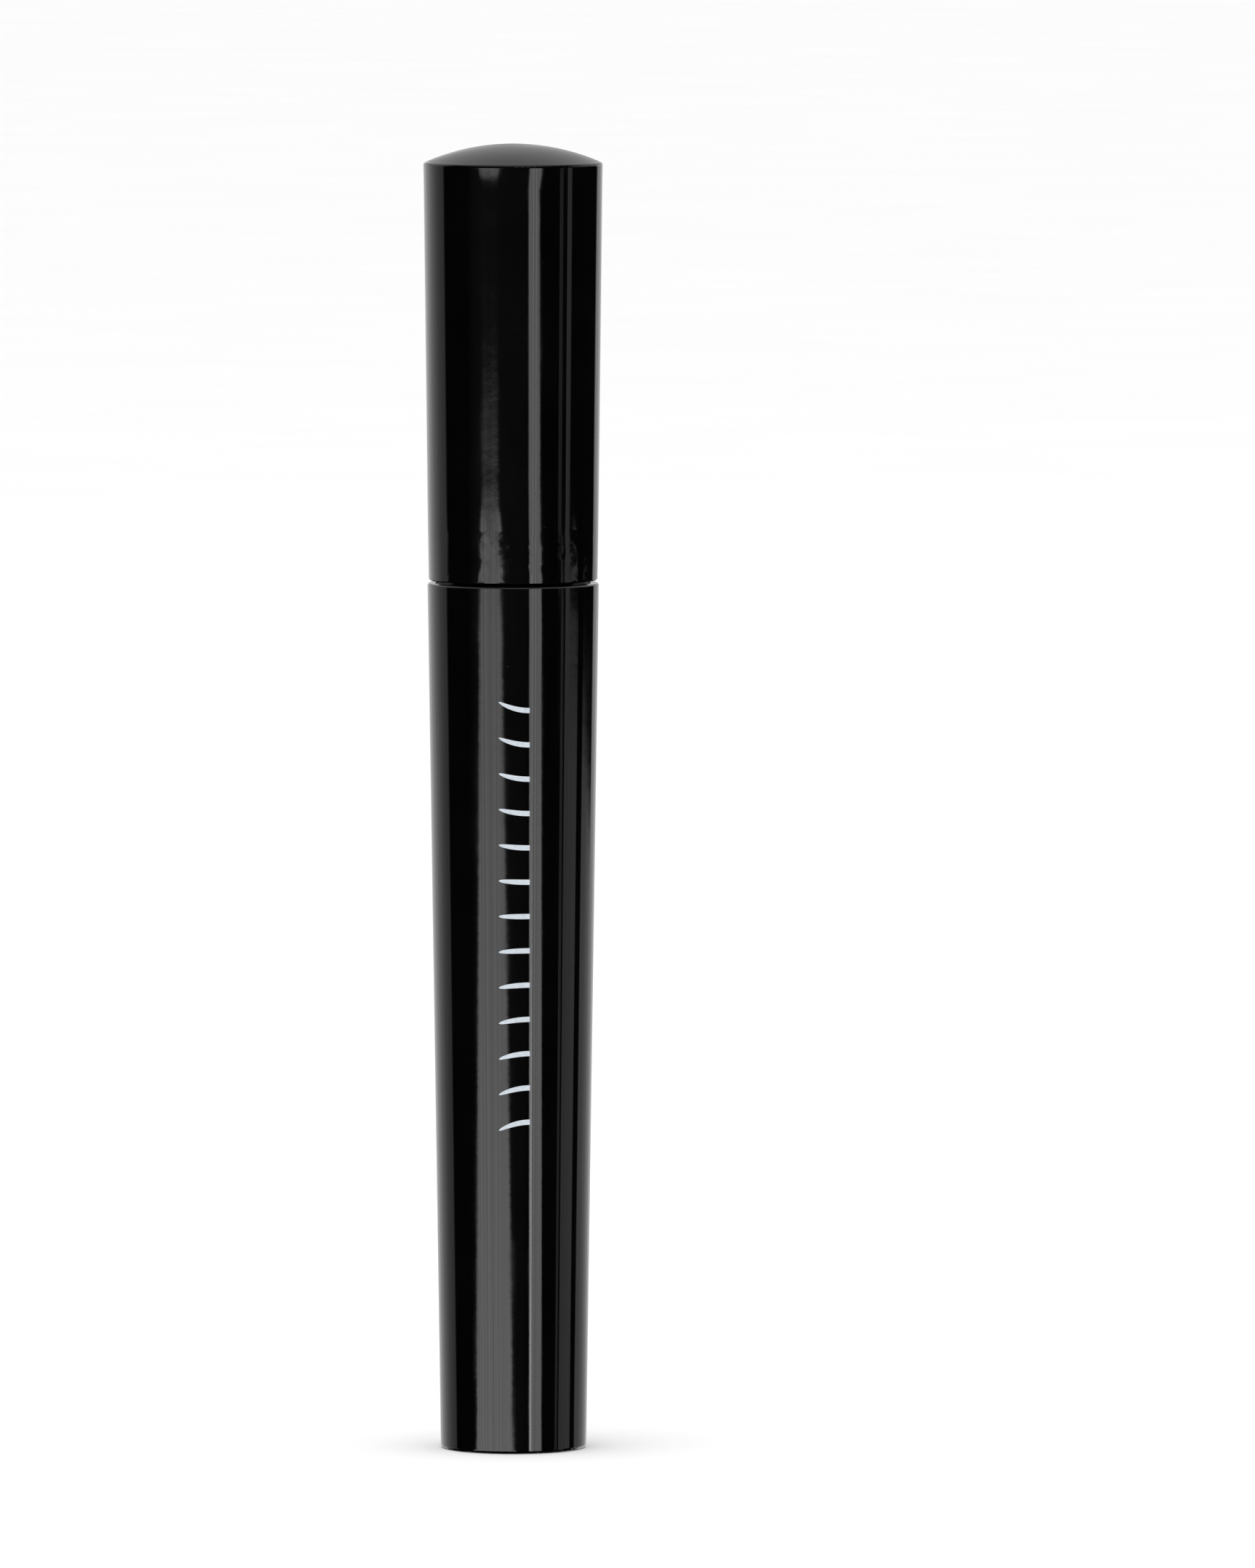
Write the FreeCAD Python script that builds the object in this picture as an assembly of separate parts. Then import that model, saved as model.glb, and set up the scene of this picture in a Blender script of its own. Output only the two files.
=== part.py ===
import FreeCAD, Part
import math
import os

# A mascara tube, standing closed on its base. Millimetres, +Z up, origin at the centre of the base.
# The tube stays put. The cap unscrews, and then draws the stem and the brush out of the neck.

# ---- driving dimensions: outside ----
SLEEVE_HEIGHT = 86.5        # base to the sleeve's top rim
CAP_GAP = 0.3               # seam between the sleeve and the cap
CAP_HEIGHT = 41.5           # cap's lower edge to the rim below its dome
DOME_HEIGHT = 2.0
BASE_RADIUS = 7.28          # sleeve at the base
SHOULDER_RADIUS = 8.55      # sleeve at its top rim
CAP_MOUTH_RADIUS = 8.42     # cap at its lower edge
CAP_FLANK_LOW = 8.54        # where the cap's straight flank starts
CAP_FLANK_HIGH = 8.90       # where the cap's straight flank ends
CAP_RIM_RADIUS = 8.94       # widest place, below the dome
SHELL = 0.8                 # wall of the sleeve, the bottle and the cap
FIT = 0.05                  # gap between pieces that are pushed together

# ---- driving dimensions: neck and thread ----
NECK_HEIGHT = 13.0
NECK_RADIUS = 5.7
NECK_BORE = 4.45
THREAD_LEAD = 3.0           # one turn lifts the cap this far and frees it
THREAD_DEPTH = 0.6
THREAD_FOOT = 1.5           # width of the ridge at its root
THREAD_CREST = 0.6
THREAD_PLAY = 0.25          # crest to the opposite wall
NECK_TURNS = 1.1
CAP_TURNS = 0.8

# ---- driving dimensions: applicator ----
STEM_RADIUS = 2.15
WAND_REACH = 82.0           # cap's lower edge to the end of the brush
BRUSH_LENGTH = 26.5
BRUSH_BOW = 1.65            # how far the brush's centre line bows towards +X at mid length
BRUSH_LEAN = 0.35           # how far its end leans back towards -X
BRISTLE_REACH = 2.1         # centre line to bristle tips at both ends of the brush
BRISTLE_GAIN = 1.45         # what the reach gains at mid length
CORE_RADIUS = 1.67          # core of the brush at both ends
CORE_SWELL = 0.35           # what the core gains at mid length
BRISTLE_COLUMNS = 24
BRISTLE_PITCH = 1.27        # spacing along one column
BRISTLE_PHASES = 3          # neighbouring columns are staggered by a third of the pitch
BRISTLE_ROOT = 0.17
BRISTLE_TIP = 0.06
SHANK_RADIUS = 1.0          # brush's shank in the stem
SHANK_LENGTH = 8.0

# ---- levels worked out from them ----
CAP_EDGE = SLEEVE_HEIGHT + CAP_GAP
CAP_RIM = CAP_EDGE + CAP_HEIGHT
NECK_TOP = SLEEVE_HEIGHT + NECK_HEIGHT
BRUSH_END = CAP_EDGE - WAND_REACH
BRUSH_START = BRUSH_END + BRUSH_LENGTH
WIPER_FLANGE = 0.6
SEAL_GAP = 0.1              # free play between the stacked seals
LINER_THICKNESS = 1.0
LINER_BOTTOM = NECK_TOP + WIPER_FLANGE + SEAL_GAP
CEILING = LINER_BOTTOM + LINER_THICKNESS + FIT
CEILING_THICKNESS = 1.2
CAP_BORE = NECK_RADIUS + THREAD_DEPTH + THREAD_PLAY
SOCKET_DEPTH = 9.6
SOCKET_BORE = 2.62
BASE_THICKNESS = 1.5
FLOOR_BOTTOM = BASE_THICKNESS + FIT
FLOOR_TOP = FLOOR_BOTTOM + 0.9
RESERVOIR_TOP = SLEEVE_HEIGHT - 5.5
NECK_BORE_BOTTOM = SLEEVE_HEIGHT - 1.7
FLANK_LOW_LEVEL = CAP_EDGE + 8.0
FLANK_HIGH_LEVEL = CAP_RIM - 2.2
FLANK_SLOPE = (CAP_FLANK_HIGH - CAP_FLANK_LOW) / (FLANK_HIGH_LEVEL - FLANK_LOW_LEVEL)

# The cap's ridge starts part way round and lies under the neck's, so that it holds the cap down.
THREAD_LOW = SLEEVE_HEIGHT + 5.0
CAP_THREAD_ANGLE = 60
RIDGE_OFFSET = 1.05
CAP_THREAD_RISE = THREAD_LEAD * CAP_THREAD_ANGLE / 360 - RIDGE_OFFSET

Z_AXIS = FreeCAD.Vector(0, 0, 1)
ORIGIN = FreeCAD.Vector(0, 0, 0)


def at(radius, height):
    """A point of an outline that is going to be turned about the Z axis."""
    return FreeCAD.Vector(radius, 0, height)


def lathe(start, *steps):
    """Turn a closed outline about the Z axis.

    Each step is the end point of a straight line, or a pair (through, end) for an arc.
    """
    edges = []
    here = start
    for step in steps + (start,):
        if isinstance(step[0], tuple):
            through, end = step
            edges.append(Part.Arc(at(*here), at(*through), at(*end)).toShape())
        else:
            end = step
            if end != here:
                edges.append(Part.LineSegment(at(*here), at(*end)).toShape())
        here = end
    return Part.Face(Part.Wire(edges)).revolve(ORIGIN, Z_AXIS, 360)


def round_corner(corner, radius, across, along):
    """The pair (through, end) of a quarter arc that rounds a square corner.

    across and along are the signs of the two sides, seen from the corner: the arc starts on the
    side that runs across (along R) and ends on the side that runs along (along Z).
    """
    inset = radius * (1 - math.sqrt(0.5))
    through = (corner[0] + across * inset, corner[1] + along * inset)
    end = (corner[0], corner[1] + along * radius)
    return through, end


def ridge(root_radius, depth, low, turns, start_angle, outward):
    """A helical thread ridge of trapezium section, sunk a little into the wall that carries it."""
    sunk = 0.2
    sign = 1 if outward else -1
    crest = THREAD_CREST / 2
    foot = THREAD_FOOT / 2
    flank_slope = (foot - crest) / depth
    sunk_foot = foot + sunk * flank_slope
    inner = root_radius - sign * sunk
    outer = root_radius + sign * depth
    corners = [at(inner, -sunk_foot), at(outer, -crest), at(outer, crest), at(inner, sunk_foot)]
    profile = Part.makePolygon(corners + corners[:1])
    helix = Part.makeHelix(THREAD_LEAD, THREAD_LEAD * turns, root_radius)
    thread = Part.Wire(helix.Edges).makePipeShell([profile], True, True)
    thread.rotate(ORIGIN, Z_AXIS, start_angle)
    thread.translate(FreeCAD.Vector(0, 0, low))
    return thread


# ---- tube ----

def sleeve_radius(height):
    return BASE_RADIUS + (SHOULDER_RADIUS - BASE_RADIUS) * height / SLEEVE_HEIGHT


def bottle_radius(height):
    return sleeve_radius(height) - SHELL - FIT


def reservoir_radius(height):
    return bottle_radius(height) - SHELL


def outer_sleeve():
    """The glossy shell of the tube, with a shallow recess in its base."""
    edge = 0.3
    recess_radius = 6.0
    recess_depth = 0.3
    rim_edge = 0.12
    inside_low = sleeve_radius(BASE_THICKNESS) - SHELL
    inside_high = SHOULDER_RADIUS - SHELL
    return lathe(
        (0, recess_depth),
        (recess_radius - recess_depth, recess_depth),
        (recess_radius, 0),
        (BASE_RADIUS - edge, 0),
        ((BASE_RADIUS - edge * (1 - math.sqrt(0.5)), edge * (1 - math.sqrt(0.5))),
         (sleeve_radius(edge), edge)),
        (sleeve_radius(SLEEVE_HEIGHT - rim_edge), SLEEVE_HEIGHT - rim_edge),
        (SHOULDER_RADIUS - rim_edge, SLEEVE_HEIGHT),
        (inside_high + rim_edge, SLEEVE_HEIGHT),
        (inside_high, SLEEVE_HEIGHT - rim_edge),
        (inside_low, BASE_THICKNESS),
        (0, BASE_THICKNESS))


def inner_bottle():
    """The reservoir, its shoulder and its threaded neck."""
    floor_edge = 1.0
    shoulder_edge = 0.2
    neck_fillet = 0.5
    bead = 0.4
    bead_height = SLEEVE_HEIGHT + 1.8
    rim_edge = 0.25
    top = bottle_radius(SLEEVE_HEIGHT)
    bottle = lathe(
        (0, FLOOR_BOTTOM),
        (bottle_radius(FLOOR_BOTTOM) - floor_edge, FLOOR_BOTTOM),
        (bottle_radius(FLOOR_BOTTOM + floor_edge), FLOOR_BOTTOM + floor_edge),
        (bottle_radius(SLEEVE_HEIGHT - shoulder_edge), SLEEVE_HEIGHT - shoulder_edge),
        (top - shoulder_edge, SLEEVE_HEIGHT),
        (NECK_RADIUS + neck_fillet, SLEEVE_HEIGHT),
        round_corner((NECK_RADIUS, SLEEVE_HEIGHT), neck_fillet, 1, 1),
        (NECK_RADIUS, bead_height - bead),
        ((NECK_RADIUS + bead, bead_height), (NECK_RADIUS, bead_height + bead)),
        (NECK_RADIUS, NECK_TOP - rim_edge),
        (NECK_RADIUS - rim_edge, NECK_TOP),
        (NECK_BORE, NECK_TOP),
        (NECK_BORE, NECK_BORE_BOTTOM),
        (reservoir_radius(RESERVOIR_TOP), RESERVOIR_TOP),
        (reservoir_radius(FLOOR_TOP), FLOOR_TOP),
        (0, FLOOR_TOP))
    thread = ridge(NECK_RADIUS, THREAD_DEPTH, THREAD_LOW, NECK_TURNS, 0, True)
    return bottle.fuse(thread).removeSplitter()


def wiper():
    """Soft insert: a flange on the neck's rim, a sleeve in its bore and a cone down to the lip."""
    skin = 0.5
    flange_radius = NECK_RADIUS - 0.3
    outside = NECK_BORE - FIT
    inside = outside - skin
    cone_top = SLEEVE_HEIGHT + 5.5
    lip_top = SLEEVE_HEIGHT + 0.1
    lip_bottom = lip_top - 0.5
    lip_radius = STEM_RADIUS + 0.1
    return lathe(
        (flange_radius, NECK_TOP),
        (flange_radius, NECK_TOP + WIPER_FLANGE),
        (inside, NECK_TOP + WIPER_FLANGE),
        (inside, cone_top),
        (lip_radius, lip_top),
        (lip_radius, lip_bottom),
        (lip_radius + skin, lip_bottom),
        (outside, cone_top - skin),
        (outside, NECK_TOP))


def mascara_paste():
    """A coat on the reservoir's wall and a pool on its floor, clear of the brush as it turns."""
    coat_radius = 5.3
    pool_top = BRUSH_END - 0.5
    coat_top = SLEEVE_HEIGHT - 11
    wall = FIT / 2
    return lathe(
        (0, FLOOR_TOP + wall),
        (reservoir_radius(FLOOR_TOP) - wall, FLOOR_TOP + wall),
        (reservoir_radius(coat_top) - wall, coat_top),
        (coat_radius, coat_top - 2),
        (coat_radius, pool_top),
        (0, pool_top))


# ---- seals between the tube and the applicator ----

def stem_seal():
    """Soft ring on the stem that closes the wiper's mouth."""
    hole = STEM_RADIUS + FIT
    outside = 3.7
    top = LINER_BOTTOM - SEAL_GAP
    bottom = top - 2.5
    lead_in = 0.6
    return lathe(
        (hole, bottom),
        (outside - lead_in, bottom),
        (outside, bottom + 2 * lead_in),
        (outside, top),
        (hole, top))


def cap_liner():
    """Washer under the inner cap's ceiling that seals on the neck."""
    hole = STEM_RADIUS + 3 * FIT
    outside = CAP_BORE - 3 * FIT
    top = LINER_BOTTOM + LINER_THICKNESS
    return lathe((hole, LINER_BOTTOM), (outside, LINER_BOTTOM), (outside, top), (hole, top))


# ---- applicator ----

def cap_radius(height):
    """Outside of the cap along its straight flank."""
    return CAP_FLANK_LOW + FLANK_SLOPE * (height - FLANK_LOW_LEVEL)


def flank_curve(end_radius, end_height, start_height):
    """The pair (through, end) of a shallow arc that carries on smoothly from the straight flank."""
    start_radius = cap_radius(start_height)
    bulge = end_radius - cap_radius(end_height)
    middle = (start_radius + cap_radius(end_height)) / 2 + bulge / 4
    return (middle, (start_height + end_height) / 2), (end_radius, end_height)


def cap_shell():
    """The glossy outer cap: curved in at the mouth, flared below the rim, domed on top."""
    rim_edge = 0.15
    mouth_edge = 0.12
    dome_edge = CAP_RIM_RADIUS - rim_edge
    dome_start = CAP_RIM + rim_edge
    apex = CAP_RIM + DOME_HEIGHT
    roof = apex - 1.1
    ceiling_corner = 1.5
    inside_top = CAP_FLANK_HIGH - SHELL
    mouth_start = CAP_EDGE + mouth_edge
    mouth_middle, _ = flank_curve(CAP_MOUTH_RADIUS, mouth_start, FLANK_LOW_LEVEL)
    rise = apex - dome_start
    dome_radius = (dome_edge ** 2 + rise ** 2) / (2 * rise)
    half_angle = math.asin(dome_edge / dome_radius) / 2
    half_dome = (dome_radius * math.sin(half_angle),
                 apex - dome_radius * (1 - math.cos(half_angle)))
    return lathe(
        (CAP_MOUTH_RADIUS - SHELL, CAP_EDGE),
        (CAP_MOUTH_RADIUS - mouth_edge, CAP_EDGE),
        (CAP_MOUTH_RADIUS, mouth_start),
        (mouth_middle, (CAP_FLANK_LOW, FLANK_LOW_LEVEL)),
        (CAP_FLANK_HIGH, FLANK_HIGH_LEVEL),
        flank_curve(CAP_RIM_RADIUS, CAP_RIM - rim_edge, FLANK_HIGH_LEVEL),
        ((CAP_RIM_RADIUS - 0.3 * rim_edge, CAP_RIM + 0.3 * rim_edge), (dome_edge, dome_start)),
        (half_dome, (0, apex)),
        (0, roof),
        (inside_top - ceiling_corner, roof),
        (inside_top, roof - ceiling_corner),
        (cap_radius(FLANK_LOW_LEVEL) - SHELL, FLANK_LOW_LEVEL),
        (CAP_MOUTH_RADIUS - SHELL, CAP_EDGE + 2 * mouth_edge))


def inner_cap():
    """Threaded liner of the cap, with a socket for the stem and ribs that centre it."""
    skirt_bottom = CAP_EDGE + 0.25
    skirt_low = CAP_MOUTH_RADIUS - SHELL - 2 * FIT
    plate_top = CEILING + CEILING_THICKNESS
    skirt_high = cap_radius(plate_top) - SHELL - 2 * FIT
    skirt_start = cap_radius(FLANK_LOW_LEVEL) - SHELL - 2 * FIT
    socket_outside = 3.7
    socket_top = CEILING + SOCKET_DEPTH
    rib_count = 6
    rib_thickness = 0.8
    rib_height = 6.0
    lead_in = 0.3
    body = lathe(
        (CAP_BORE + lead_in, skirt_bottom),
        (skirt_low, skirt_bottom),
        (skirt_start, FLANK_LOW_LEVEL),
        (skirt_high, plate_top),
        (socket_outside, plate_top),
        (socket_outside, socket_top + CEILING_THICKNESS),
        (0, socket_top + CEILING_THICKNESS),
        (0, socket_top),
        (SOCKET_BORE, socket_top),
        (SOCKET_BORE, CEILING),
        (CAP_BORE, CEILING),
        (CAP_BORE, skirt_bottom + lead_in))
    for index in range(rib_count):
        length = skirt_high - socket_outside
        rib = Part.makeBox(length, rib_thickness, rib_height,
                           FreeCAD.Vector(socket_outside - 0.2, -rib_thickness / 2, plate_top - 0.2))
        rib.rotate(ORIGIN, Z_AXIS, index * 360 / rib_count)
        body = body.fuse(rib)
    thread = ridge(CAP_BORE, THREAD_DEPTH, THREAD_LOW + CAP_THREAD_RISE, CAP_TURNS,
                   CAP_THREAD_ANGLE, False)
    return body.fuse(thread).removeSplitter()


def stem():
    """Plastic rod with a grooved head in the inner cap's socket and a bore for the brush shank."""
    head_radius = SOCKET_BORE - 0.04
    head_bottom = CEILING + FIT
    head_top = CEILING + SOCKET_DEPTH - 0.2
    nose_length = 4.0
    nose_radius = 1.73
    shank_bore = SHANK_RADIUS + 0.02
    shoulder = 0.3
    groove_depth = 0.25
    rod = lathe(
        (0, BRUSH_START + SHANK_LENGTH + 0.3),
        (shank_bore, BRUSH_START + SHANK_LENGTH + 0.3),
        (shank_bore, BRUSH_START),
        (nose_radius - 0.2, BRUSH_START),
        (nose_radius, BRUSH_START + 0.2),
        ((STEM_RADIUS - 0.12, BRUSH_START + nose_length / 2),
         (STEM_RADIUS, BRUSH_START + nose_length)),
        (STEM_RADIUS, head_bottom - shoulder),
        (STEM_RADIUS, head_bottom),
        (head_radius, head_bottom),
        (head_radius, head_top - shoulder),
        (head_radius - shoulder, head_top),
        (0, head_top))
    for level in (0.3, 0.6):
        height = head_bottom + level * (head_top - head_bottom)
        groove = Part.makeTorus(head_radius, groove_depth, at(0, height))
        rod = rod.cut(groove)
    return rod


def fullness(height):
    """0 at both ends of the brush and 1 at mid length, along a parabola."""
    part_way = (BRUSH_START - height) / BRUSH_LENGTH
    return 1 - (2 * part_way - 1) ** 2


def centre_line(height):
    """Where the middle of the brush stands in X: bowed, and leaning back towards its end."""
    part_way = (BRUSH_START - height) / BRUSH_LENGTH
    return BRUSH_BOW * fullness(height) - BRUSH_LEAN * part_way


def core_radius(height):
    return CORE_RADIUS + CORE_SWELL * fullness(height)


def brush_core():
    """The curved body of the brush, rounded at its end, and its shank in the stem."""
    sections = 9
    end_round = 0.7
    low = BRUSH_END + end_round
    rings = []
    for index in range(sections):
        height = BRUSH_START - (BRUSH_START - low) * index / (sections - 1)
        centre = FreeCAD.Vector(centre_line(height), 0, height)
        rings.append(Part.Wire(Part.Circle(centre, Z_AXIS, core_radius(height)).toShape()))
    body = Part.makeLoft(rings, True)
    nose = Part.makeCylinder(core_radius(low), end_round,
                             FreeCAD.Vector(centre_line(low), 0, BRUSH_END))
    nose = nose.makeFillet(end_round - 0.05, [edge for edge in nose.Edges
                                              if edge.BoundBox.ZMax < BRUSH_END + 0.01])
    shank = Part.makeCylinder(SHANK_RADIUS, SHANK_LENGTH, FreeCAD.Vector(0, 0, BRUSH_START))
    return body.fuse([nose, shank]).removeSplitter()


def bristles():
    """Tapered bristles in staggered columns, each square to the stem's axis."""
    sunk = 0.15
    margin = 0.35
    cones = []
    for column in range(BRISTLE_COLUMNS):
        angle = 2 * math.pi * column / BRISTLE_COLUMNS
        outward = FreeCAD.Vector(math.cos(angle), math.sin(angle), 0)
        first = margin + BRISTLE_PITCH * (column % BRISTLE_PHASES) / BRISTLE_PHASES
        rows = int((BRUSH_LENGTH - margin - first) / BRISTLE_PITCH) + 1
        for row in range(rows):
            height = BRUSH_START - first - row * BRISTLE_PITCH
            root = core_radius(height) - sunk
            tip = BRISTLE_REACH + BRISTLE_GAIN * fullness(height)
            start = FreeCAD.Vector(centre_line(height), 0, height) + outward * root
            cones.append(Part.makeCone(BRISTLE_ROOT, BRISTLE_TIP, tip - root, start, outward))
    return Part.makeCompound(cones)


PIECES = {
    "outer_sleeve": outer_sleeve,
    "inner_bottle": inner_bottle,
    "wiper": wiper,
    "mascara_paste": mascara_paste,
    "stem_seal": stem_seal,
    "cap_liner": cap_liner,
    "cap_shell": cap_shell,
    "inner_cap": inner_cap,
    "stem": stem,
    "brush_core": brush_core,
    "bristles": bristles,
}

os.makedirs("parts", exist_ok=True)
for name, make in PIECES.items():
    shape = make()
    print(name, "valid" if shape.isValid() else "BAD", len(shape.Solids), "solids",
          round(shape.Volume, 1), "mm3")
    shape.exportStep(f"parts/{name}.step")
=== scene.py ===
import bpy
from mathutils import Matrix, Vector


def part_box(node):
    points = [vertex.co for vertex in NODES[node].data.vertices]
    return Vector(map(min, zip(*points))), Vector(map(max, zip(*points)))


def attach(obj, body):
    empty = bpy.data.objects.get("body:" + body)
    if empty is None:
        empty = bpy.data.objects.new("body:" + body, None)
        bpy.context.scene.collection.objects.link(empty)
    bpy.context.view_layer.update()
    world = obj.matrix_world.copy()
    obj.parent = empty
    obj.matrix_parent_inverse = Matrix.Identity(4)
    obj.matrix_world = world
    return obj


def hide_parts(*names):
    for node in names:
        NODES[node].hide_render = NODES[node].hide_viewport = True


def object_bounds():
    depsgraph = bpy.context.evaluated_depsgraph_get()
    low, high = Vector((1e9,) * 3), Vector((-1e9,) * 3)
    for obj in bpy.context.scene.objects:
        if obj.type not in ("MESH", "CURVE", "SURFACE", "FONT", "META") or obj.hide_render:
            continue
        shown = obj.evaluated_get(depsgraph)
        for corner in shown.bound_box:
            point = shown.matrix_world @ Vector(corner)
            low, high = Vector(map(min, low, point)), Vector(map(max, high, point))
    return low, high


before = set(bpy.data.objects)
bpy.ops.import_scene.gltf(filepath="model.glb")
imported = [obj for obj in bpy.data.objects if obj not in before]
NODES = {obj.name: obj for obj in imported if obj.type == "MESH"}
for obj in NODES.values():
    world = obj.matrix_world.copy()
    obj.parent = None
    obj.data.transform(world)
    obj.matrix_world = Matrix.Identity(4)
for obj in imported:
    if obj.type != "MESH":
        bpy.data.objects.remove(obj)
cad_box = [list(corner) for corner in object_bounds()]

import math
import random

import bpy
from mathutils import Vector, noise

MM = 0.001

# ---- levels and sizes, read from the frame ----
TOTAL_HEIGHT = cad_box[1][2]
SLEEVE_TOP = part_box("outer_sleeve")[1].z
SHOULDER_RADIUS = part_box("outer_sleeve")[1].x
CAP_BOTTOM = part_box("cap_shell")[0].z
STEM_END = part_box("stem")[0].z
BRUSH_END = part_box("brush_core")[0].z
BRUSH_LENGTH = STEM_END - BRUSH_END

# ---- sizes that the frame has no box for ----
BASE_RADIUS = 7.28 * MM
DOME_RIM = TOTAL_HEIGHT - 2.0 * MM
BRUSH_BOW = 1.65 * MM
BRUSH_LEAN = 0.35 * MM
CORE_RADIUS = 1.67 * MM
CORE_SWELL = 0.35 * MM
BRISTLE_REACH = 2.1 * MM
BRISTLE_GAIN = 1.45 * MM
BRISTLE_MARGIN = 0.35 * MM
BRISTLE_COLUMNS = 24
BRISTLE_PITCH = 1.27 * MM
BRISTLE_PHASES = 3

# ---- camera ----
VIEW_DISTANCE = 1.86
VIEW_ELEVATION = 4.0
VIEW_CENTRE = (11.4 * MM, 0.0, 66.4 * MM)
VIEW_LENS = 428.0


# ---------------------------------------------------------------- node helpers

class Shader:
    """A material with one Principled shader, and short calls for the nodes that feed it."""

    def __init__(self, name, roughness, specular=0.5, **sockets):
        self.material = bpy.data.materials.new(name)
        self.material.use_nodes = True
        self.tree = self.material.node_tree
        self.shader = self.tree.nodes["Principled BSDF"]
        self.shader.inputs["Roughness"].default_value = roughness
        self.shader.inputs["Specular IOR Level"].default_value = specular
        for label, value in sockets.items():
            self.shader.inputs[label.replace("_", " ")].default_value = value
        place = self.tree.nodes.new("ShaderNodeTexCoord")
        self.place = place.outputs["Object"]

    def node(self, kind, **settings):
        made = self.tree.nodes.new(kind)
        for label, value in settings.items():
            setattr(made, label, value)
        return made

    def link(self, output, socket):
        self.tree.links.new(output, socket)

    def stretched(self, x, y, z):
        """Object coordinates, scaled along each axis."""
        mapping = self.node("ShaderNodeMapping")
        mapping.inputs["Scale"].default_value = (x, y, z)
        self.link(self.place, mapping.inputs["Vector"])
        return mapping.outputs["Vector"]

    def noise(self, cell, detail=4.0, stretch=(1, 1, 1), roughness=0.55):
        """Noise whose cells are about the given size in metres."""
        made = self.node("ShaderNodeTexNoise")
        made.inputs["Scale"].default_value = 1.0
        made.inputs["Detail"].default_value = detail
        made.inputs["Roughness"].default_value = roughness
        self.link(self.stretched(*[part / cell for part in stretch]), made.inputs["Vector"])
        return made.outputs["Fac"]

    def specks(self, cell, size):
        """Small round spots, one in each cell: 1 at a spot's middle and 0 outside it."""
        made = self.node("ShaderNodeTexVoronoi")
        made.inputs["Scale"].default_value = 1.0
        self.link(self.stretched(1 / cell, 1 / cell, 1 / cell), made.inputs["Vector"])
        return self.remap(made.outputs["Distance"], 0.0, size, 1.0, 0.0)

    def remap(self, value, low, high, new_low, new_high):
        made = self.node("ShaderNodeMapRange", interpolation_type="SMOOTHSTEP")
        for socket, number in zip(made.inputs[1:5], (low, high, new_low, new_high)):
            socket.default_value = number
        self.link(value, made.inputs[0])
        return made.outputs[0]

    def math(self, operation, first, second):
        made = self.node("ShaderNodeMath", operation=operation)
        for socket, value in zip(made.inputs, (first, second)):
            if isinstance(value, (int, float)):
                socket.default_value = value
            else:
                self.link(value, socket)
        return made.outputs[0]

    def colours(self, value, *stops):
        """A colour ramp from (position, (r, g, b)) stops."""
        made = self.node("ShaderNodeValToRGB")
        ramp = made.color_ramp
        while len(ramp.elements) < len(stops):
            ramp.elements.new(0.5)
        for element, (position, colour) in zip(ramp.elements, stops):
            element.position = position
            element.color = (*colour, 1.0)
        self.link(value, made.inputs["Fac"])
        return made.outputs["Color"]

    def bump(self, height, depth, strength=1.0):
        """Adds a bump of the given depth in metres on top of the bumps added before."""
        made = self.node("ShaderNodeBump")
        made.inputs["Strength"].default_value = strength
        made.inputs["Distance"].default_value = depth
        self.link(height, made.inputs["Height"])
        before = self.shader.inputs["Normal"].links
        if before:
            self.link(before[0].from_socket, made.inputs["Normal"])
        self.link(made.outputs["Normal"], self.shader.inputs["Normal"])

    def colour_is(self, output):
        self.link(output, self.shader.inputs["Base Color"])

    def roughness_is(self, output):
        self.link(output, self.shader.inputs["Roughness"])


# ---------------------------------------------------------------- materials

def black_gloss():
    """High-gloss moulded plastic: faint waviness, handling haze, specks, and a satin dome."""
    made = Shader("black_gloss", 0.05)
    clouds = made.noise(9 * MM, 3.0)
    made.colour_is(made.colours(clouds, (0.3, (0.0004, 0.0004, 0.0005)),
                                (0.75, (0.0012, 0.0012, 0.0013))))
    haze = made.noise(4 * MM, 6.0, (1, 1, 0.35))
    hazed = made.remap(haze, 0.4, 0.8, 0.035, 0.075)
    dust = made.math("MULTIPLY", made.specks(1.7 * MM, 0.05), 0.25)
    satin = 0.17
    parts = made.node("ShaderNodeSeparateXYZ")
    made.link(made.place, parts.inputs[0])
    dome = made.remap(parts.outputs["Z"], DOME_RIM + 0.1 * MM, DOME_RIM + 0.3 * MM, 0.0, satin)
    made.roughness_is(made.math("ADD", made.math("ADD", hazed, dust), dome))
    made.bump(made.noise(1.6 * MM, 2.0), 0.0015 * MM)
    made.bump(made.noise(0.12 * MM, 2.0), 0.0004 * MM)
    return made.material


def satin_black():
    """The stem: satin plastic with a faint draw along its length."""
    made = Shader("satin_black", 0.36)
    drawn = made.noise(0.35 * MM, 4.0, (1, 1, 0.05))
    made.colour_is(made.colours(drawn, (0.3, (0.0015, 0.0015, 0.0017)),
                                (0.8, (0.0045, 0.0045, 0.005))))
    made.roughness_is(made.remap(drawn, 0.3, 0.7, 0.3, 0.44))
    made.bump(drawn, 0.004 * MM)
    made.bump(made.noise(0.09 * MM, 2.0), 0.002 * MM)
    return made.material


def moulded_black():
    """Inner mouldings: unpolished black plastic with a fine spark-eroded grain."""
    made = Shader("moulded_black", 0.42)
    clouds = made.noise(3 * MM, 5.0)
    made.colour_is(made.colours(clouds, (0.3, (0.002, 0.002, 0.0022)),
                                (0.75, (0.006, 0.006, 0.0065))))
    made.roughness_is(made.remap(clouds, 0.3, 0.7, 0.26, 0.4))
    made.bump(made.noise(0.15 * MM, 3.0), 0.006 * MM)
    return made.material


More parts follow.
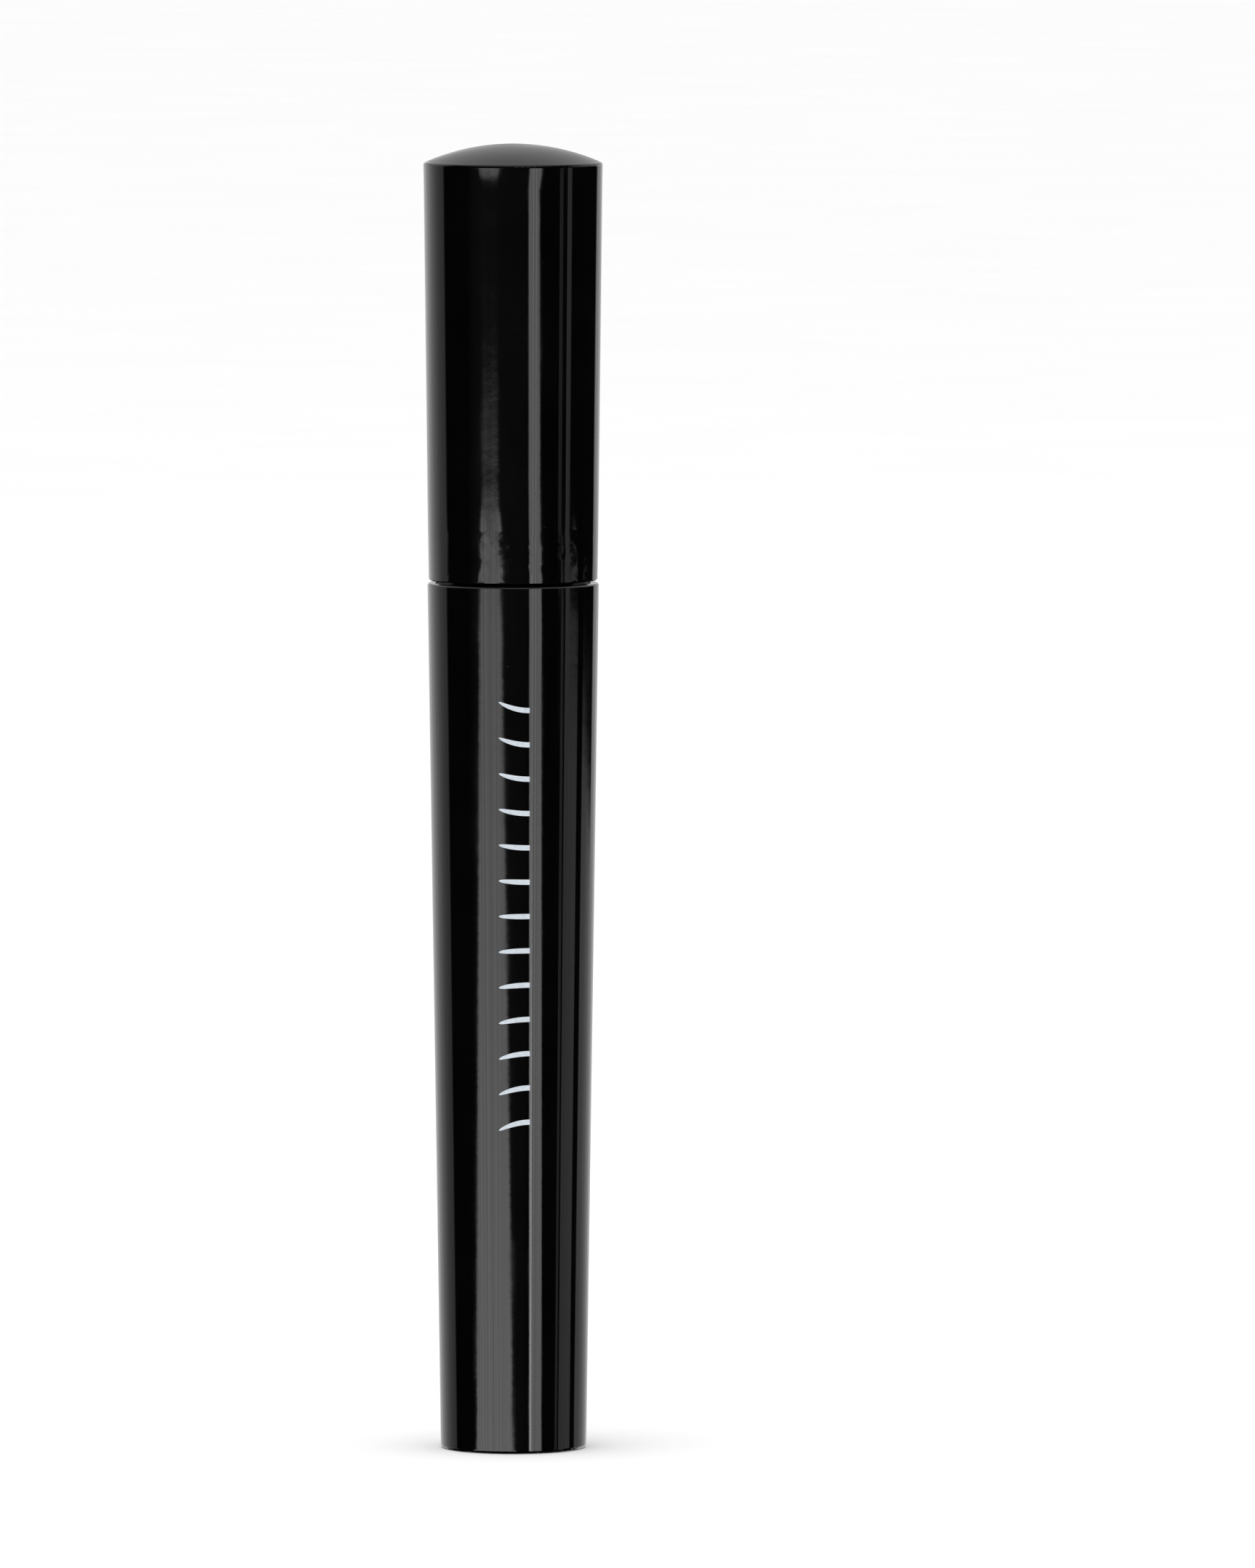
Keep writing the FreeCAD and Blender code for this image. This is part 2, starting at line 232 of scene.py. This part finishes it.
def soft_rubber(name, dark, light):
    """Seals and wiper: matte elastomer, a little dusty."""
    made = Shader(name, 0.6, 0.4)
    clouds = made.noise(1.2 * MM, 5.0)
    made.colour_is(made.colours(clouds, (0.3, dark), (0.75, light)))
    made.roughness_is(made.remap(clouds, 0.3, 0.7, 0.5, 0.72))
    made.bump(made.noise(0.1 * MM, 3.0), 0.006 * MM)
    return made.material


def pale_foam():
    """Liner washer: closed-cell foam with fine pores, each darkened by painted shade."""
    made = Shader("pale_foam", 0.8, 0.3)
    pores = made.specks(0.3 * MM, 0.4)
    # painted shade: darker at each pore's middle, where the bump sinks it
    made.colour_is(made.colours(pores, (0.0, (0.72, 0.72, 0.69)), (1.0, (0.48, 0.48, 0.45))))
    made.roughness_is(made.remap(pores, 0.0, 1.0, 0.7, 0.95))
    made.bump(pores, -0.02 * MM)
    return made.material


def wet_paste(name, clump):
    """Black paste: painted shade darkens the hollows and a painted grey sheen lightens what stands
    proud; glossier in the hollows, rougher on what stands proud.
    """
    made = Shader(name, 0.35)
    lumps = made.noise(clump, 6.0)
    # painted shade in the hollows and painted sheen on what stands proud: the colour follows the same
    # lumps as the bump
    made.colour_is(made.colours(lumps, (0.38, (0.001, 0.001, 0.0012)),
                                (0.68, (0.013, 0.013, 0.0145))))
    made.roughness_is(made.remap(lumps, 0.35, 0.7, 0.24, 0.5))
    made.bump(lumps, 0.16 * clump)
    made.bump(made.noise(clump / 5, 4.0), 0.05 * clump)
    return made.material


def pale_ink():
    """Printed motif: thin pale ink with a slightly uneven edge-to-edge coverage."""
    made = Shader("pale_ink", 0.35)
    cover = made.noise(0.3 * MM, 4.0)
    made.colour_is(made.colours(cover, (0.3, (0.50, 0.55, 0.60)), (0.7, (0.62, 0.67, 0.72))))
    made.roughness_is(made.remap(cover, 0.3, 0.7, 0.3, 0.45))
    made.bump(made.noise(0.06 * MM, 2.0), 0.001 * MM)
    return made.material


# ---------------------------------------------------------------- mesh helpers

def mesh_piece(name, points, faces, material, body, smooth=True):
    """A new mesh object that rides on a body, with the given material."""
    mesh = bpy.data.meshes.new(name)
    mesh.from_pydata(points, [], faces)
    mesh.materials.append(material)
    for face in mesh.polygons:
        face.use_smooth = smooth
    made = bpy.data.objects.new(name, mesh)
    bpy.context.scene.collection.objects.link(made)
    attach(made, body)
    return made


def tube_faces(rings, sides, first=0):
    """Quads between consecutive rings of points, and a fan-free cap ring at both ends."""
    faces = []
    for ring in range(rings - 1):
        low = first + ring * sides
        for side in range(sides):
            after = (side + 1) % sides
            faces.append((low + side, low + after, low + sides + after, low + sides + side))
    faces.append(tuple(first + side for side in reversed(range(sides))))
    last = first + (rings - 1) * sides
    faces.append(tuple(last + side for side in range(sides)))
    return faces


# ---------------------------------------------------------------- brush

def fullness(height):
    """0 at both ends of the brush and 1 at mid length."""
    part_way = (STEM_END - height) / BRUSH_LENGTH
    return max(0.0, 1 - (2 * part_way - 1) ** 2)


def centre_line(height):
    """Where the middle of the brush stands in X."""
    part_way = (STEM_END - height) / BRUSH_LENGTH
    return BRUSH_BOW * fullness(height) - BRUSH_LEAN * part_way


def core_radius(height):
    return CORE_RADIUS + CORE_SWELL * fullness(height)


def first_bristle(column):
    """How far below the stem a column's first bristle stands: neighbours are staggered."""
    return BRISTLE_MARGIN + BRISTLE_PITCH * (column % BRISTLE_PHASES) / BRISTLE_PHASES


def bristle_places():
    """(angle, height) of every bristle, as in the frame's node."""
    for column in range(BRISTLE_COLUMNS):
        angle = 2 * math.pi * column / BRISTLE_COLUMNS
        first = first_bristle(column)
        rows = int((BRUSH_LENGTH - BRISTLE_MARGIN - first) / BRISTLE_PITCH) + 1
        for row in range(rows):
            yield angle, STEM_END - first - row * BRISTLE_PITCH


def ease(value):
    value = min(1.0, max(0.0, value))
    return value * value * (3 - 2 * value)


def coat_depth(angle, height):
    """Paste on the core: lumpy webs with a pit round each bristle, and a thin collar at the stem."""
    around = 2.2
    spot = Vector((around * math.cos(angle), around * math.sin(angle), height / MM))
    lumps = sum(share * noise.noise(spot * scale)
                for scale, share in ((1.3, 0.5), (3.1, 0.45), (6.3, 0.3)))
    collar = ease((STEM_END - height) / (1.5 * MM) - 0.4)
    columns = angle / (2 * math.pi) * BRISTLE_COLUMNS
    column = round(columns)
    rows = (STEM_END - height - first_bristle(column)) / BRISTLE_PITCH
    across = columns - column
    along = rows - round(rows)
    narrowing = 2.2
    pit_size = 0.09
    pit = math.exp(-(across * across + (narrowing * along) ** 2) / pit_size)
    mean, lump_depth, pit_depth, on_collar = 0.10, 0.17, 0.16, 0.25
    depth = mean + (lump_depth * lumps - pit_depth * pit) * collar
    return depth * MM * (on_collar + (1 - on_collar) * collar)


def brush_body(material):
    """The curved brush core under its coat of paste, with a blunt end."""
    sides = 180
    rows = 230
    end_rows = 16
    end_round = 0.7 * MM
    last_turn = 0.995 * math.pi / 2
    levels = [(STEM_END - (BRUSH_LENGTH - end_round) * row / rows, 1.0) for row in range(rows + 1)]
    for row in range(1, end_rows + 1):
        turn = last_turn * row / end_rows
        levels.append((BRUSH_END + end_round * (1 - math.sin(turn)), math.sqrt(math.cos(turn))))
    points = []
    for height, shrink in levels:
        for side in range(sides):
            angle = 2 * math.pi * side / sides
            radius = (core_radius(height) + coat_depth(angle, height)) * shrink
            points.append((centre_line(height) + radius * math.cos(angle),
                           radius * math.sin(angle), height))
    made = mesh_piece("brush_body", points, tube_faces(len(levels), sides), material,
                      "applicator")
    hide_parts("brush_core")
    return made


def bristle_field(material):
    """Tapered bristles, each with paste at its foot, a slight droop and a blunt tip.

    The profile is in parts of the bristle's length and millimetres of radius.
    """
    random.seed(11)
    sides = 8
    sunk = 0.2 * MM
    pasted_part = 0.6
    profile = ((0.0, 0.33), (0.14, 0.23), (0.3, 0.175), (0.55, 0.135), (0.8, 0.095),
               (0.93, 0.08), (0.985, 0.06), (1.0, 0.03))
    points = []
    faces = []
    for angle, height in bristle_places():
        root = core_radius(height) - sunk
        length = BRISTLE_REACH + BRISTLE_GAIN * fullness(height) - root
        length *= random.choice((1.0, 0.99, 0.97, 0.86))
        length *= 0.8 + 0.2 * ease((STEM_END - height) / (4.2 * MM))
        droop = random.uniform(-0.09, 0.04) * MM
        drift = random.uniform(-0.06, 0.06) * MM
        paste = random.uniform(0.8, 1.35)
        outward = Vector((math.cos(angle), math.sin(angle), 0))
        across = Vector((-math.sin(angle), math.cos(angle), 0))
        start = Vector((centre_line(height), 0, height)) + outward * root
        first = len(points)
        for part_way, radius in profile:
            bend = part_way * part_way
            centre = start + outward * length * part_way + across * drift * bend
            centre.z += droop * bend
            lump = 1 + 0.35 * noise.noise(centre / MM * 4.0)
            for side in range(sides):
                turn = 2 * math.pi * side / sides
                reach = radius * MM * lump * (paste if part_way < pasted_part else 1.0)
                point = centre + across * reach * math.cos(turn)
                point.z += reach * math.sin(turn)
                points.append(point)
        faces.extend(tube_faces(len(profile), sides, first))
    made = mesh_piece("bristle_field", points, faces, material, "applicator")
    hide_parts("bristles")
    return made


# ---------------------------------------------------------------- printed motif

def sleeve_radius(height):
    return BASE_RADIUS + (SHOULDER_RADIUS - BASE_RADIUS) * height / SLEEVE_TOP


def on_sleeve(across, height, lift):
    """A point on the front of the sleeve, across metres to the right of its middle."""
    radius = sleeve_radius(height)
    angle = across / radius
    return ((radius + lift) * math.sin(angle), -(radius + lift) * math.cos(angle), height)


def printed_motif(material):
    """A column of slender curved strokes, like a row of lashes, printed up the sleeve."""
    strokes = 13
    low, high = 31.5 * MM, 76.0 * MM
    left, right = -1.4 * MM, 1.7 * MM
    half_width = 0.24 * MM
    tip_width = 0.02 * MM
    sweep = 0.9 * MM
    lift = 0.012 * MM
    steps = 14
    points = []
    faces = []
    for stroke in range(strokes):
        middle = low + (high - low) * (stroke + 0.5) / strokes
        lean = (stroke + 0.5) / strokes * 2 - 1
        first = len(points)
        for step in range(steps + 1):
            part_way = step / steps
            across = right + (left - right) * part_way
            height = middle + lean * sweep * part_way ** 2
            wide = half_width * math.sqrt(1 - part_way ** 3) + tip_width
            for offset, up in ((-wide, -lift), (-wide, lift), (wide, lift), (wide, -lift)):
                points.append(on_sleeve(across, height + offset, up))
        faces.extend(tube_faces(steps + 1, 4, first))
    return mesh_piece("printed_motif", points, faces, material, "tube", smooth=False)


# ---------------------------------------------------------------- studio

def studio_world():
    """White surroundings for the floor and backdrop; for reflections, a dark room with tall lights.

    The reflected room is given by azimuth (0 towards the camera's side, positive to the right)
    and by elevation, both in degrees.
    """
    world = bpy.data.worlds.new("studio")
    bpy.context.scene.world = world
    world.use_nodes = True
    tree = world.node_tree
    tree.nodes.clear()

    def number(operation, *values):
        made = tree.nodes.new("ShaderNodeMath")
        made.operation = operation
        for socket, value in zip(made.inputs, values):
            if isinstance(value, (int, float)):
                socket.default_value = value
            else:
                tree.links.new(value, socket)
        return made.outputs[0]

    def rise(value, low, high):
        """0 below low, 1 above high; low may be above high."""
        made = tree.nodes.new("ShaderNodeMapRange")
        made.interpolation_type = "SMOOTHSTEP"
        made.inputs[1].default_value = low
        made.inputs[2].default_value = high
        tree.links.new(value, made.inputs[0])
        return made.outputs[0]

    place = tree.nodes.new("ShaderNodeTexCoord")
    parts = tree.nodes.new("ShaderNodeSeparateXYZ")
    tree.links.new(place.outputs["Generated"], parts.inputs[0])
    x, y, z = parts.outputs
    azimuth = number("MULTIPLY", number("ARCTAN2", x, number("MULTIPLY", y, -1)), 180 / math.pi)
    elevation = number("MULTIPLY", number("ARCSINE", z), 180 / math.pi)

    # The drifts are per degree below where the sleeve's shoulder looks. They end where its base looks.
    shoulder_looks, base_looks = 5.2, 8.5
    down = number("MINIMUM", number("MULTIPLY", elevation, -1), base_looks)
    lower = number("SUBTRACT", down, shoulder_looks)

    def tall_light(centre, centre_drift, half, half_drift, level, edge):
        """A tall light whose middle and half width change by so much per degree downwards."""
        middle = number("MULTIPLY_ADD", lower, centre_drift, centre)
        reach = number("MULTIPLY_ADD", lower, half_drift, half)
        off = number("ABSOLUTE", number("SUBTRACT", azimuth, middle))
        return number("MULTIPLY", rise(number("SUBTRACT", reach, off), 0.0, edge), level)

    def sector(start, end, level, edge=2.0):
        inside = number("MULTIPLY", rise(azimuth, start, start + edge),
                        rise(azimuth, end, end - edge))
        return number("MULTIPLY", inside, level)

    def both(first, second):
        return number("MULTIPLY", first, second)

    streaks = tree.nodes.new("ShaderNodeTexNoise")
    streaks.noise_dimensions = "1D"
    streaks.inputs["Scale"].default_value = 0.5
    streaks.inputs["Detail"].default_value = 5.0
    tree.links.new(azimuth, streaks.inputs["W"])
    uneven = number("MULTIPLY_ADD", streaks.outputs["Fac"], 1.3, 0.35)

    # The cap's flank looks less far down than the sleeve, so it sees the high part of the room.
    low_part = rise(down, 4.6, 4.9)
    high_part = number("SUBTRACT", 1.0, low_part)

    fading_up = both(rise(down, 3.95, 4.85), number("MULTIPLY_ADD", lower, 0.15, 1.0))
    left_light = both(tall_light(centre=-31, centre_drift=0.0, half=17.4, half_drift=6.0,
                                 level=2.4, edge=4.0), fading_up)
    right_light = tall_light(centre=30.8, centre_drift=1.8, half=9.6, half_drift=0.75,
                             level=2.9, edge=2.5)
    right_rim = both(tall_light(centre=24.0, centre_drift=1.3, half=2.2, half_drift=0.2,
                                level=3.6, edge=1.6), rise(down, 5.0, 7.0))
    side_low = both(low_part, number("ADD", sector(68, 74, 0.42), sector(75, 101, 0.64)))
    side_high = both(high_part, number("ADD", sector(63, 70, 0.36), sector(75, 84, 0.6)))
    back_left = number("ADD", sector(-181, -99, 0.5, edge=5.0),
                       number("MULTIPLY", rise(azimuth, -104, -150), 0.7))
    back_low = both(both(low_part, rise(azimuth, 110.5, 113.5)),
                    number("MULTIPLY_ADD", rise(azimuth, 118, 160), 0.45, 0.62))
    back_high = both(high_part, rise(azimuth, 138, 143))
    glow = sector(-64, 26, 0.05, edge=14.0)

    room = 0.008
    for light in (left_light, right_light, right_rim, side_low, side_high, back_left, back_low,
                  back_high, glow):
        room = number("ADD", room, light)
    room = both(both(room, uneven), rise(elevation, -32, -22))

    # Overhead, for the dome: bright behind the tube, and right above it.
    overhead = number("MAXIMUM", number("MULTIPLY", rise(y, -0.05, 0.45), 0.85),
                      number("MULTIPLY", rise(elevation, 35, 60), 0.7))
    is_high = rise(elevation, 4.0, 18.0)
    room = number("ADD", both(room, number("SUBTRACT", 1.0, is_high)), both(overhead, is_high))

    rays = tree.nodes.new("ShaderNodeLightPath")
    glossy = rays.outputs["Is Glossy Ray"]
    white = 1.3
    surroundings = number("ADD", both(glossy, room),
                          number("MULTIPLY", number("SUBTRACT", 1.0, glossy), white))
    background = tree.nodes.new("ShaderNodeBackground")
    tree.links.new(surroundings, background.inputs["Strength"])
    output = tree.nodes.new("ShaderNodeOutputWorld")
    tree.links.new(background.outputs[0], output.inputs["Surface"])


def pale_floor():
    """A wide pale floor that the gloss of the tube doesn't mirror."""
    made = Shader("floor_paper", 0.9, 0.0)
    made.colour_is(made.colours(made.noise(60 * MM, 3.0), (0.3, (0.93, 0.93, 0.93)),
                                (0.7, (0.945, 0.945, 0.945))))
    made.bump(made.noise(1.5 * MM, 3.0), 0.01 * MM)
    half = 6.0
    below_base = 0.05 * MM
    mesh = bpy.data.meshes.new("floor")
    mesh.from_pydata([(-half, -half, 0), (half, -half, 0), (half, half, 0), (-half, half, 0)],
                     [], [(0, 1, 2, 3)])
    mesh.materials.append(made.material)
    floor = bpy.data.objects.new("floor", mesh)
    bpy.context.scene.collection.objects.link(floor)
    floor.location.z = -below_base
    floor.visible_glossy = False


def soft_light(name, place, size, power):
    """A large soft light, aimed at the middle of the tube and not seen itself."""
    lamp = bpy.data.lights.new(name, "AREA")
    lamp.shape = "RECTANGLE"
    lamp.size, lamp.size_y = size
    lamp.energy = power
    made = bpy.data.objects.new(name, lamp)
    bpy.context.scene.collection.objects.link(made)
    made.location = place
    aim = Vector((0, 0, TOTAL_HEIGHT / 2)) - Vector(place)
    made.rotation_euler = aim.to_track_quat("-Z", "Y").to_euler()
    made.visible_camera = False
    made.visible_glossy = False


def camera():
    made = bpy.data.objects.new("camera", bpy.data.cameras.new("camera"))
    bpy.context.scene.collection.objects.link(made)
    rise = math.radians(VIEW_ELEVATION)
    back = Vector((0, -math.cos(rise), math.sin(rise)))
    made.location = Vector(VIEW_CENTRE) + back * VIEW_DISTANCE
    made.rotation_euler = (-back).to_track_quat("-Z", "Y").to_euler()
    made.data.lens = VIEW_LENS
    made.data.clip_start = 0.05
    made.data.clip_end = 50.0
    bpy.context.scene.camera = made


# ---------------------------------------------------------------- put together

def give(material, *names):
    """Puts a material on carried-over nodes of the frame."""
    for name in names:
        for place in NODES[name].material_slots:
            place.link = "OBJECT"
            place.material = material


camera()
studio_world()
pale_floor()
soft_light("top_light", (-0.2, -0.3, 1.2), (1.2, 1.2), 4.0)
bpy.context.scene.view_settings.view_transform = "Standard"

give(black_gloss(), "outer_sleeve", "cap_shell")
give(satin_black(), "stem")
give(moulded_black(), "inner_bottle", "inner_cap")
give(soft_rubber("wiper_rubber", (0.03, 0.03, 0.031), (0.05, 0.05, 0.052)), "wiper")
give(soft_rubber("seal_rubber", (0.015, 0.015, 0.015), (0.03, 0.03, 0.03)), "stem_seal")
give(pale_foam(), "cap_liner")
give(wet_paste("tube_paste", 1.5 * MM), "mascara_paste")
brush_paste = wet_paste("brush_paste", 0.55 * MM)
brush_body(brush_paste)
bristle_field(brush_paste)
printed_motif(pale_ink())
